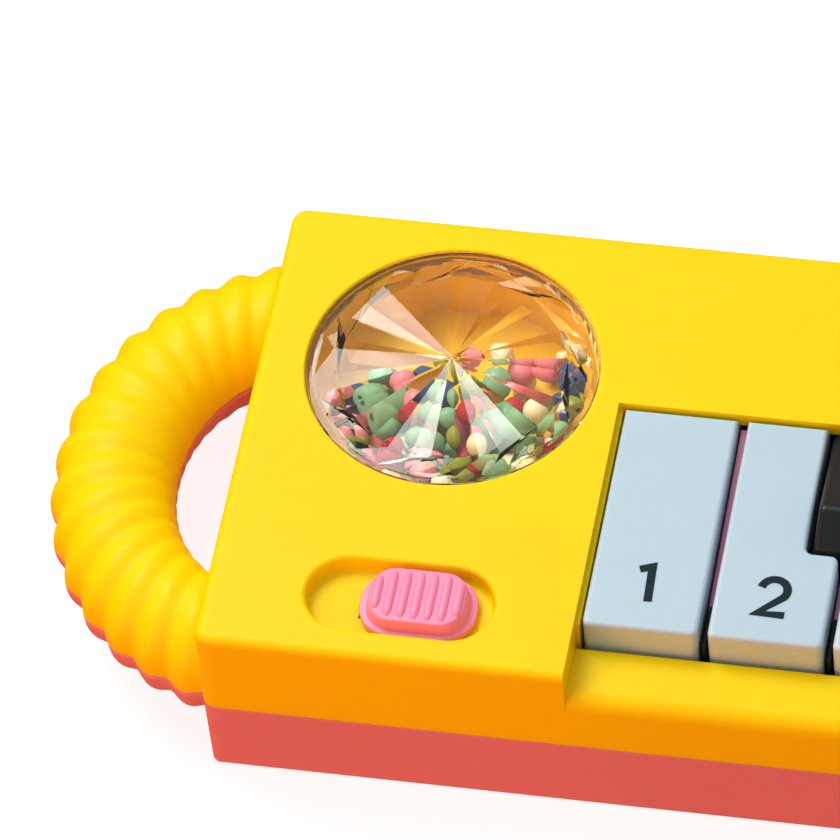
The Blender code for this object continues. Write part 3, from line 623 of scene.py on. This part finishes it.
def screw(name, middle, heights, radii, body, node):
    """A pan-head screw seen from below: a domed head with a cross recess, and a threaded shank."""
    x, y = middle
    face, neck, tip = heights
    head, shank = radii
    profile = [(0.01 * MM, face), (head * 0.55, face + 0.05 * MM), (head * 0.85, face + 0.25 * MM),
               (head, face + 0.6 * MM), (head, neck), (shank, neck)]
    turn = 0.7 * MM
    z = neck
    while z + turn < tip:
        profile += [(shank, z + turn * 0.35), (shank * 0.72, z + turn * 0.75)]
        z += turn
    profile += [(shank * 0.6, tip), (0.01 * MM, tip + 0.7 * MM)]
    mesh = bmesh.new()
    skin(mesh, [[at(x + r * math.cos(2 * math.pi * i / 24), y + r * math.sin(2 * math.pi * i / 24), h)
                 for i in range(24)] for r, h in profile])
    piece = solid(name, mesh, "steel_parts", 35)
    arm, thick = head * 0.55, 0.22 * MM
    combine(piece, "DIFFERENCE",
            block((x - arm, x + arm), (y - thick, y + thick), (face - 1 * MM, face + 0.7 * MM)),
            block((x - thick, x + thick), (y - arm, y + arm), (face - 1 * MM, face + 0.7 * MM)))
    piece.data.shade_smooth()
    piece.data.set_sharp_from_angle(angle=math.radians(35))
    return place(piece, body, "steel_parts", node)


def screws_and_feet():
    for number, (x, y) in enumerate(SCREWS, 1):
        screw(f"shell_screw_{number}", (x, y), (7.4 * MM, 9.5 * MM, 18.5 * MM), (2.3 * MM, 1.1 * MM), HOUSING,
              f"housing_screw_{number}")
    for number, (x, y) in enumerate(FEET, 1):
        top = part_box(f"foot_pad_{number}")[1].z
        pad = solid(f"rubber_foot_{number}", turned([
            (0, 0.12 * MM), (2.6 * MM, 0.1 * MM), (3.2 * MM, 0), (3.9 * MM, 0), (4.25 * MM, 0.12 * MM),
            (4.4 * MM, 0.4 * MM), (4.4 * MM, top), (0, top)], x, y), "foot_rubber")
        place(pad, HOUSING, "foot_rubber", f"foot_pad_{number}")


# Handle

HANDLE_X = 6 * MM                    # the ellipse's centre lies inside the wall
HANDLE_Y = 33.75 * MM
HANDLE_A = 22.75 * MM
HANDLE_B = 25.45 * MM
RIBS = 15
RIB_CREST = 7.8 * MM
RIB_VALLEY = 6.95 * MM
HANDLE_BORE = 5.4 * MM


def handle_half(name, side, slot, node, steps_per_rib=12, around=28):
    """One half of the ribbed tube. Its ribs fan out from a hub on the wall."""
    hub = Vector((0, HANDLE_Y))
    last = math.acos(HANDLE_X / HANDLE_A)

    def section(share):
        a = last * (2 * share - 1)
        middle = Vector((HANDLE_X - HANDLE_A * math.cos(a), HANDLE_Y + HANDLE_B * math.sin(a)))
        square = Vector((-HANDLE_B * math.cos(a), HANDLE_A * math.sin(a))).normalized()
        out = (middle - hub).normalized()
        wave = math.sin(math.pi * (share * RIBS % 1))
        rise = (RIB_CREST - RIB_VALLEY) * (0.35 * wave + 0.65 * wave * wave)
        lip = 0.25 * MM

        def outer(turn):
            away = 0.5 + 0.5 * math.cos(turn)
            return (RIB_CREST - 0.1 * MM * (1 - away)
                    - ((RIB_CREST - RIB_VALLEY) - rise) * (0.12 + 0.88 * away))
        arc = [(outer(0) - lip, 0.0)]
        arc += [(outer(t), t) for t in (math.pi * (0.012 + 0.976 * k / around) for k in range(around + 1))]
        arc += [(outer(math.pi) - lip, math.pi)] + [(HANDLE_BORE, math.pi * (1 - k / 10)) for k in range(11)]
        for radius, turn in arc:
            flat = middle + out * radius * math.cos(turn) / out.dot(square)
            yield at(flat.x, flat.y, SEAM + side * (SEAM_GAP + (radius - SEAM_GAP) * math.sin(turn)))
    mesh = bmesh.new()
    rings = RIBS * steps_per_rib
    skin(mesh, [list(section(i / rings)) for i in range(rings + 1)])
    half = solid(name, mesh, slot, 40)
    return place(half, HOUSING, slot, node)


# Window

def lens():
    """The clear window: flat wedges that fan out from a raised middle and tilt by turns, with a second
    fan on the underside, between the first one's ridges."""
    sectors, fine = 16, 64
    share = fine // sectors
    mesh = bmesh.new()

    def ring(radius, count, heights, turn=0.0):
        return [mesh.verts.new(at(WINDOW_X + radius * math.cos(2 * math.pi * (i + turn) / count),
                                  WINDOW_Y + radius * math.sin(2 * math.pi * (i + turn) / count),
                                  heights[i % len(heights)])) for i in range(count)]

    def bridge(a, b):
        for i in range(len(a)):
            j = (i + 1) % len(a)
            mesh.faces.new((a[i], a[j], b[j], b[i]))

    def fan(peak_height, wedge_ring, edge_ring, rim):
        """Wedges from a peak, small triangles beyond them, and a join to the finer round rim."""
        peak = mesh.verts.new(at(WINDOW_X, WINDOW_Y, peak_height))
        start_angle = math.atan2(edge_ring[0].co.y - peak.co.y, edge_ring[0].co.x - peak.co.x)
        first = round(start_angle / math.tau * fine)
        for i in range(sectors):
            j = (i + 1) % sectors
            mesh.faces.new((peak, wedge_ring[i], wedge_ring[j]))
            mesh.faces.new((wedge_ring[i], edge_ring[i], wedge_ring[j]))
            mesh.faces.new((wedge_ring[j], edge_ring[i], edge_ring[j]))
            start = first + i * share
            half = share // 2
            for k in range(share):
                corner = edge_ring[i] if k < half else edge_ring[j]
                mesh.faces.new((corner, rim[(start + k) % fine], rim[(start + k + 1) % fine]))
            mesh.faces.new((edge_ring[i], rim[(start + half) % fine], edge_ring[j]))
    outer_rim = ring(17.1 * MM, fine, (TOP - 0.12 * MM,))
    fan(LENS_HIGH.z, ring(14.6 * MM, sectors, (TOP + 1.15 * MM, TOP + 0.3 * MM)),
        ring(16.8 * MM, sectors, (TOP - 0.05 * MM,), 0.5), outer_rim)
    flange = LENS_LOW.z
    outer = LENS_HIGH.x - (LENS_LOW.x + LENS_HIGH.x) / 2
    steps = [(17.85 * MM, TOP - 0.14 * MM), (17.94 * MM, TOP - 0.22 * MM), (17.94 * MM, TOP - 0.5 * MM),
             (18.1 * MM, TOP - 0.55 * MM), (18.1 * MM, INNER_TOP - 0.3 * MM), (outer, INNER_TOP - 0.3 * MM),
             (outer, flange), (17.8 * MM, flange), (17.8 * MM, TOP - 1.3 * MM), (16.9 * MM, TOP - 1.18 * MM)]
    last = outer_rim
    for radius, height in steps:
        made = ring(radius, fine, (height,))
        bridge(last, made)
        last = made
    fan(TOP + 0.5 * MM, ring(14 * MM, sectors, (TOP - 0.35 * MM, TOP - 1.5 * MM), 0.5),
        ring(16.5 * MM, sectors, (TOP - 1.15 * MM,)), last)
    window = solid("faceted_window", mesh, "clear_lens", 3)
    window.visible_shadow = False
    return place(window, HOUSING, "clear_lens", "window_lens")


def bead_mesh(radius, kind):
    """A craft bead about its own centre: round, bicone or barrel, each with a thread hole."""
    hole = 0.22 * radius
    if kind == "round":
        arc = [(radius * math.cos(a), radius * math.sin(a)) for a in
               (math.radians(-76 + 152 * k / 12) for k in range(13))]
    elif kind == "bicone":
        arc = [(0.35 * radius, -0.95 * radius), (radius, -0.12 * radius), (radius, 0.12 * radius),
               (0.35 * radius, 0.95 * radius)]
    else:
        arc = [(0.6 * radius, -0.9 * radius), (0.85 * radius, -0.75 * radius), (radius, 0),
               (0.85 * radius, 0.75 * radius), (0.6 * radius, 0.9 * radius)]
    profile = arc + [(hole, arc[-1][1]), (hole, arc[0][1])]
    steps = 8 if kind == "bicone" else 20
    mesh = bmesh.new()
    skin(mesh, [[Vector((r * math.cos(2 * math.pi * i / steps), r * math.sin(2 * math.pi * i / steps), z))
                 for i in range(steps)] for r, z in profile], closed=True)
    return mesh


BEAD_SLOTS = ("bead_crimson", "bead_cream", "bead_navy", "bead_lime", "bead_pink", "bead_green")
BEAD_MIX = (1.4, 3, 0.9, 2, 1.8, 2.4)    # how many of each colour among the small beads


def beads():
    """The beads that the CAD holds, and a pile of smaller ones over their front half. Each small bead
    drops at a random place and stops on the beads below it."""
    rng = random.Random(11)
    piled = []
    for n in range(1, 13):
        low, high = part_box(f"bead_{n}")
        piled.append(((low + high) / 2, (high.x - low.x) / 2 * 0.97, BEAD_SLOTS[n % 6], f"bead_{n}"))
    middle = at(WINDOW_X, WINDOW_Y, 0)
    ground, ceiling = piled[0][0].z - piled[0][1], 23.2 * MM
    for _ in range(2600):
        radius = rng.uniform(1.4, 2.2) * MM
        across = rng.uniform(-16, 16)
        spot = middle + Vector((across, rng.uniform(-16, 4 + 0.35 * across), 0)) * MM
        if (spot - middle).length > 16.3 * MM - radius:
            continue
        spot.z = ground + radius
        for other, size, *_ in piled:
            apart, reach = (other.xy - spot.xy).length, size + radius
            if apart < reach:
                spot.z = max(spot.z, other.z + math.sqrt(reach * reach - apart * apart))
        if spot.z + radius < ceiling:
            piled.append((spot, radius * 0.98, rng.choices(BEAD_SLOTS, BEAD_MIX)[0], None))
    for n, (spot, radius, slot, node) in enumerate(piled, 1):
        kind = ("round", "bicone", "round", "barrel", "round")[rng.randrange(5)]
        bead = solid(f"loose_bead_{n}", bead_mesh(radius, kind), slot, 25 if kind == "bicone" else 50)
        turn = Euler([rng.uniform(0, math.pi) for _ in range(3)]).to_matrix().to_4x4()
        bead.data.transform(Matrix.Translation(spot) @ turn)
        place(bead, HOUSING, slot, *([node] if node else []))


# Keys

def key_outline(number, inset):
    """A white key from above, with a notch where a black key stands beside it."""
    notch = BLACK_WIDTH / 2 + BLACK_CLEAR - (PITCH - KEY_WIDTH) / 2
    left = KEYS[number - 1][0].x - HOUSING_LOW.x
    right = left + KEY_WIDTH
    back_left = left + (notch if number - 1 in BLACK_AFTER else 0)
    back_right = right - (notch if number in BLACK_AFTER else 0)
    shoulder = grid(COMB_LOW)[1] - BLACK_CLEAR
    points = [(left + inset, KEY_FRONT + inset), (right - inset, KEY_FRONT + inset)]
    if back_right < right:
        points += [(right - inset, shoulder - inset), (back_right - inset, shoulder - inset)]
    points += [(back_right - inset, KEY_REAR - inset), (back_left + inset, KEY_REAR - inset)]
    if back_left > left:
        points += [(back_left + inset, shoulder - inset), (left + inset, shoulder - inset)]
    return points


def white_key(number):
    left = KEYS[number - 1][0].x - HOUSING_LOW.x
    right = left + KEY_WIDTH
    key = solid(f"key_{number}", prism(key_outline(number, 0), KEY_BOTTOM, KEY_TOP), "white_keys")
    tail = 23.2 * MM
    combine(key, "DIFFERENCE", block((left - 1 * MM, right + 1 * MM),
                                     (WELL_BACK - 0.4 * MM, KEY_REAR + 1 * MM), (tail, TOP)))
    shoulder_y = WELL_BACK - 0.6 * MM

    def upright(edge, middle):
        up = abs(edge.verts[0].co.z - edge.verts[1].co.z) > 1 * MM
        return up and grid(middle)[1] < shoulder_y
    round_edges(key, 0.9 * MM, upright, 4)
    round_edges(key, 0.55 * MM, lambda edge, middle: middle.z > KEY_TOP - 0.01 * MM, 4)
    skin_depth = 1.4 * MM
    back = grid(COMB_LOW)[1] - BLACK_CLEAR - skin_depth
    outline = key_outline(number, skin_depth)[:2] + [(right - skin_depth, back), (left + skin_depth, back)]
    combine(key, "DIFFERENCE", prism(outline, KEY_BOTTOM - 1 * MM, KEY_TOP - 1.8 * MM))
    rod = bmesh.new()
    skin(rod, [[at(x, PIVOT[0] + 1.55 * MM * math.cos(a), PIVOT[1] + 1.55 * MM * math.sin(a))
                for a in (2 * math.pi * i / 24 for i in range(24))] for x in (left - 1 * MM, right + 1 * MM)])
    combine(key, "DIFFERENCE", rod)
    finish_surface(key)
    place(key, f"white_key_{number}", "white_keys", f"white_key_{number}")
    number_print(number, (left + right) / 2)


def stroke(points, width, height, thickness, closed):
    """A flat printed line with square ends along points in the grid, on the plane at height."""
    mesh = bmesh.new()
    places = [Vector(p) for p in points]
    count = len(places)
    rings = []
    for i, p in enumerate(places):
        back = places[i - 1] if i or closed else 2 * p - places[1]
        front = places[(i + 1) % count] if i + 1 < count or closed else 2 * p - back
        into, onward = (p - back).normalized(), (front - p).normalized()
        ahead = (into + onward).normalized()
        side = Vector((-ahead.y, ahead.x)) * width / 2 / max(0.5, ahead.dot(into))
        left, right = p + side, p - side
        rings.append([at(left.x, left.y, height), at(right.x, right.y, height),
                      at(right.x, right.y, height + thickness), at(left.x, left.y, height + thickness)])
    skin(mesh, rings, closed)
    return mesh


def arc(cx, cy, rx, ry, start, end, steps=14):
    return [(cx + rx * math.cos(math.radians(start + (end - start) * i / steps)),
             cy + ry * math.sin(math.radians(start + (end - start) * i / steps))) for i in range(steps + 1)]


# Each digit as lines in a cell one unit high. A line that closes on itself is marked True.
DIGITS = {
    1: [([(-0.21, 0.83), (0.03, 0.92), (0.06, 0.07)], False)],
    2: [(arc(0.01, 0.66, 0.26, 0.26, 170, -38) + [(-0.25, 0.075), (0.29, 0.075)], False)],
    3: [(arc(0, 0.71, 0.23, 0.21, 155, -90), False), (arc(0, 0.29, 0.26, 0.22, 90, -150), False)],
    4: [([(0.12, 0.0), (0.12, 0.96)], False), ([(0.11, 0.90), (-0.28, 0.30), (0.32, 0.30)], False)],
    5: [([(0.25, 0.925), (-0.18, 0.925), (-0.22, 0.50)] + arc(0, 0.34, 0.27, 0.27, 120, -145), False)],
    6: [([(0.13, 0.97), (-0.2, 0.46)], False), (arc(0, 0.33, 0.25, 0.26, 0, 345, 22), True)],
    7: [([(-0.27, 0.925), (0.25, 0.925), (-0.08, 0.0)], False)],
    8: [(arc(0, 0.71, 0.21, 0.21, 0, 342, 18), True), (arc(0, 0.29, 0.26, 0.22, 0, 342, 18), True)],
}


def number_print(number, middle):
    """The key's number, printed near its front end."""
    size, low, width = 6.1 * MM, 12.3 * MM, 1.03 * MM
    lines = []
    for level, (points, closed) in enumerate(DIGITS[number]):
        lift = level * 0.004 * MM
        lines.append(stroke([(middle + x * size, low + y * size) for x, y in points], width,
                            KEY_TOP - 0.005 * MM - lift, PRINT + 2 * lift, closed))
    digit = solid(f"digit_{number}", lines[0], LOOKS["digit_ink"], 40)
    if len(lines) > 1:
        combine(digit, "UNION", *lines[1:])
    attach(digit, f"white_key_{number}")


def ink(name, code):
    """Pad-printed ink, faintly uneven."""
    colour = linear(code)
    shader = Shader(name, Specular_IOR_Level=0.12)
    patch = shader.noise(1400, 3)
    shader.colour(shader.ramp(patch, [(0.3, shade(colour, 0.93)), (0.7, shade(colour, 1.06))]))
    shader.roughness(shader.spread(patch, 0.42, 0.58))
    shader.bump((patch, 0.1, 0.01 * MM))
    return shader.material


def black_comb():
    """The black keys: five wedges with soft edges on a bar that runs under the white keys."""
    front, back = grid(COMB_LOW)[1], WELL_BACK - 0.3 * MM
    crown = COMB_HIGH.z
    bar_y, bar_z = (43.3 * MM, 47 * MM), (14.2 * MM, 16.6 * MM)
    comb = solid("black_keys", block((COMB_LOW.x - HOUSING_LOW.x, COMB_HIGH.x - HOUSING_LOW.x), bar_y, bar_z),
                 "black_keys")
    side = [(front, 17.5 * MM), (front, TOP - 0.7 * MM), (front + 4.3 * MM, crown), (back, TOP - 1.8 * MM),
            (back, 22.4 * MM), (bar_y[1], 22.4 * MM), (bar_y[1], bar_z[0] + 0.1 * MM),
            (bar_y[0] + 0.1 * MM, bar_z[0] + 0.1 * MM), (bar_y[0] + 0.1 * MM, 17.5 * MM)]
    wedges = []
    for after in BLACK_AFTER:
        middle = KEYS[after - 1][1].x - HOUSING_LOW.x + (PITCH - KEY_WIDTH) / 2
        mesh = bmesh.new()
        ends = [[at(middle + s * (BLACK_WIDTH / 2 - 0.7 * MM * max(0, z - 22 * MM) / (crown - 22 * MM)), y, z)
                 for y, z in side] for s in (-1, 1)]
        skin(mesh, ends)
        wedge = solid("wedge", mesh, None)
        round_edges(wedge, 0.7 * MM,
                    lambda edge, spot: spot.z > 22.6 * MM and grid(spot)[1] < back - 0.01 * MM, 4)
        shape = bmesh.new()
        shape.from_mesh(wedge.data)
        bpy.data.objects.remove(wedge)
        wedges.append(shape)
    combine(comb, "UNION", *wedges)
    finish_surface(comb)
    return place(comb, HOUSING, "black_keys", "black_key_comb")


def dividers():
    """Thin pink ribs of the lower housing that stand in the gaps between the white keys. Their tops slope
    down to the front, so that a pressed key hides them."""
    half, front = 0.36 * MM, 14.5 * MM
    slope = math.tan(math.radians(3.8))
    for number in range(1, 8):
        x = KEYS[number - 1][1].x - HOUSING_LOW.x + (PITCH - KEY_WIDTH) / 2
        back = grid(COMB_LOW)[1] - 0.5 * MM if number in BLACK_AFTER else WELL_BACK - 0.4 * MM
        tops = [KEY_TOP - 1.4 * MM - slope * (PIVOT[0] - y) for y in (front, back)]
        side = [(front, 15 * MM), (front, tops[0]), (back, tops[1]), (back, 15 * MM)]
        rib = solid(f"key_divider_{number}", extruded(side, x - half, x + half), "coral_shell")
        round_edges(rib, 0.12 * MM, lambda edge, middle: middle.z > tops[0] - 0.01 * MM, 2)
        finish_surface(rib)
        place(rib, HOUSING, "coral_shell")


# Slide switch

def knob():
    """The pink slider: a flat foot with round ends and a raised pad with seven grip ribs."""
    x, y = grid((KNOB_LOW + KNOB_HIGH) / 2)
    half_l, half_w = (KNOB_HIGH.x - KNOB_LOW.x) / 2, (KNOB_HIGH.y - KNOB_LOW.y) / 2
    base = SLOT_FLOOR + 0.3 * MM
    crown = KNOB_HIGH.z

    def outline(dx, dy, radius):
        return rounded(x - half_l + dx * MM, x + half_l - dx * MM, y - half_w + dy * MM, y + half_w - dy * MM,
                       radius * MM, 10)
    piece = solid("slider", loft(
        (outline(0.15, 0.15, 4.2), base), (outline(0, 0, 4.35), base + 0.2 * MM),
        (outline(0, 0, 4.35), base + 0.7 * MM), (outline(0.12, 0.12, 4.2), base + 0.92 * MM),
        (outline(0.5, 0.4, 3.9), base + 1 * MM), (outline(0.85, 0.6, 3.5), base + 1.05 * MM),
        (outline(1.0, 0.7, 3.3), base + 1.3 * MM), (outline(1.25, 0.85, 3.0), crown - 0.8 * MM),
        (outline(1.4, 0.98, 2.8), crown - 0.55 * MM), (outline(1.75, 1.3, 2.3), crown - 0.42 * MM)),
        "pink_knob", 40)
    ribs = []
    count, pitch, radius = 7, 1.64 * MM, 0.62 * MM
    for i in range(count):
        cx = x + (i - (count - 1) / 2) * pitch
        reach = half_w - (2.2 if i in (0, count - 1) else 1.1) * MM
        rib = bmesh.new()
        rings = []
        for k in range(17):
            t = -1 + k / 8
            taper = math.sqrt(max(0.03, 1 - abs(t) ** 6))
            rings.append([at(cx + radius * taper * math.cos(a), y + t * reach,
                             crown - radius + radius * (taper * math.sin(a) + (taper - 1) * 0.5))
                          for a in (2 * math.pi * j / 16 for j in range(16))])
        skin(rib, rings)
        ribs.append(rib)
    combine(piece, "UNION", *ribs)
    stem = x + 1.5 * MM
    combine(piece, "UNION", block((stem - 2.2 * MM, stem + 2.2 * MM), (y - 1.6 * MM, y + 1.6 * MM),
                                  (KNOB_LOW.z, base + 0.5 * MM)))
    combine(piece, "DIFFERENCE", block((stem - 1.4 * MM, stem + 1.4 * MM), (y - 1.0 * MM, y + 1.0 * MM),
                                       (KNOB_LOW.z - 1 * MM, 24 * MM)))
    finish_surface(piece, 40)
    return place(piece, "switch_knob", "pink_knob", "switch_knob")


INKS = {"digit_ink": "14292C"}


# Parts that keep their CAD shape

def dress_cad():
    """Gives each CAD node that still shows its slot's look, and softens its edges."""
    slots = {row["node"]: row["material_slot"] for row in frame["record"]["subparts"]}
    for name, node in frame["nodes"].items():
        node.data.materials.clear()
        node.data.materials.append(LOOKS[slots[name]])
        if node.hide_render:
            continue
        weld = node.modifiers.new("weld", "WELD")
        weld.merge_threshold = 0.001 * MM
        flats = node.modifiers.new("flats", "DECIMATE")
        flats.decimate_type = "DISSOLVE"
        flats.angle_limit = math.radians(1)
        soft = node.modifiers.new("soft_edges", "BEVEL")
        soft.width = 0.2 * MM
        soft.segments = 2
        soft.limit_method = "ANGLE"
        soft.angle_limit = math.radians(40)
        even = node.modifiers.new("even_normals", "WEIGHTED_NORMAL")
        even.keep_sharp = True
        node.data.shade_smooth()


# Studio

def area_light(name, place_at, target, size, power, colour=(1, 1, 1)):
    data = bpy.data.lights.new(name, "AREA")
    data.size = size
    data.energy = power
    data.color = colour
    lamp = bpy.data.objects.new(name, data)
    lamp.location = place_at
    lamp.rotation_euler = (Vector(target) - Vector(place_at)).to_track_quat("-Z", "Y").to_euler()
    bpy.context.scene.collection.objects.link(lamp)


def studio():
    scene = bpy.context.scene
    scene.view_settings.view_transform = "Standard"
    world = bpy.data.worlds.new("studio")
    world.use_nodes = True
    nodes, links = world.node_tree.nodes, world.node_tree.links
    direction = nodes.new("ShaderNodeTexCoord")
    split = nodes.new("ShaderNodeSeparateXYZ")
    dome = nodes.new("ShaderNodeValToRGB")
    links.new(direction.outputs["Generated"], split.inputs["Vector"])
    links.new(split.outputs["Z"], dome.inputs["Fac"])
    links.new(dome.outputs["Color"], nodes["Background"].inputs["Color"])
    dome.color_ramp.elements[0].position = 0.0
    dome.color_ramp.elements[0].color = (0.56, 0.185, 0.045, 1)
    dome.color_ramp.elements[1].position = 0.9
    dome.color_ramp.elements[1].color = (0.53, 0.61, 0.66, 1)
    scene.world = world
    mesh = bmesh.new()
    bmesh.ops.create_grid(mesh, x_segments=1, y_segments=1, size=3)
    floor = solid("floor", mesh, None)
    paper = Shader("floor_paper", Roughness=0.9)
    paper.colour(paper.ramp(paper.noise(8), [(0.3, (0.24, 0.24, 0.24, 1)), (0.7, (0.26, 0.26, 0.26, 1))]))
    paper.principled.inputs["Emission Color"].default_value = (1, 1, 1, 1)
    paper.principled.inputs["Emission Strength"].default_value = 0.85
    floor.data.materials.append(paper.material)
    floor.visible_diffuse = False
    floor.visible_glossy = False
    centre = Vector((0, 0, TOP))
    area_light("key", (-0.36, 0.25, 0.62), centre, 0.4, 3.6, (0.95, 1.0, 1.02))
    area_light("warm_fill", (-0.27, -0.33, 0.1), centre, 0.25, 0.95, (1.0, 0.32, 0.1))


def camera():
    """The view from the front right and above, with a long lens and a slight roll."""
    azimuth, elevation, roll = (math.radians(v) for v in (14.74, 51.98, -5.9))
    distance = 1.0868
    target = at(21.29 * MM, 35.93 * MM, TOP)
    back = Vector((math.sin(azimuth) * math.cos(elevation), -math.cos(azimuth) * math.cos(elevation),
                   math.sin(elevation)))
    level = Vector((math.cos(azimuth), math.sin(azimuth), 0))
    up = back.cross(level)
    right = math.cos(roll) * level + math.sin(roll) * up
    top = -math.sin(roll) * level + math.cos(roll) * up
    data = bpy.data.cameras.new("camera")
    data.lens = 385.7
    data.sensor_width = 36
    data.clip_start, data.clip_end = 0.05, 10
    lens_object = bpy.data.objects.new("camera", data)
    axes = Matrix((right, top, back)).transposed().to_4x4()
    lens_object.matrix_world = Matrix.Translation(target + back * distance) @ axes
    bpy.context.scene.collection.objects.link(lens_object)
    bpy.context.scene.camera = lens_object


def build():
    camera()
    make_looks()
    LOOKS.update({name: ink(name, code) for name, code in INKS.items()})
    upper_shell()
    handle_half("grip_upper", 1, "yellow_shell", "handle_upper_half")
    handle_half("grip_lower", -1, "coral_shell", "handle_lower_half")
    lower_shell()
    battery_door()
    screws_and_feet()
    lens()
    beads()
    for number in range(1, 9):
        white_key(number)
    black_comb()
    dividers()
    knob()
    dress_cad()
    studio()


build()
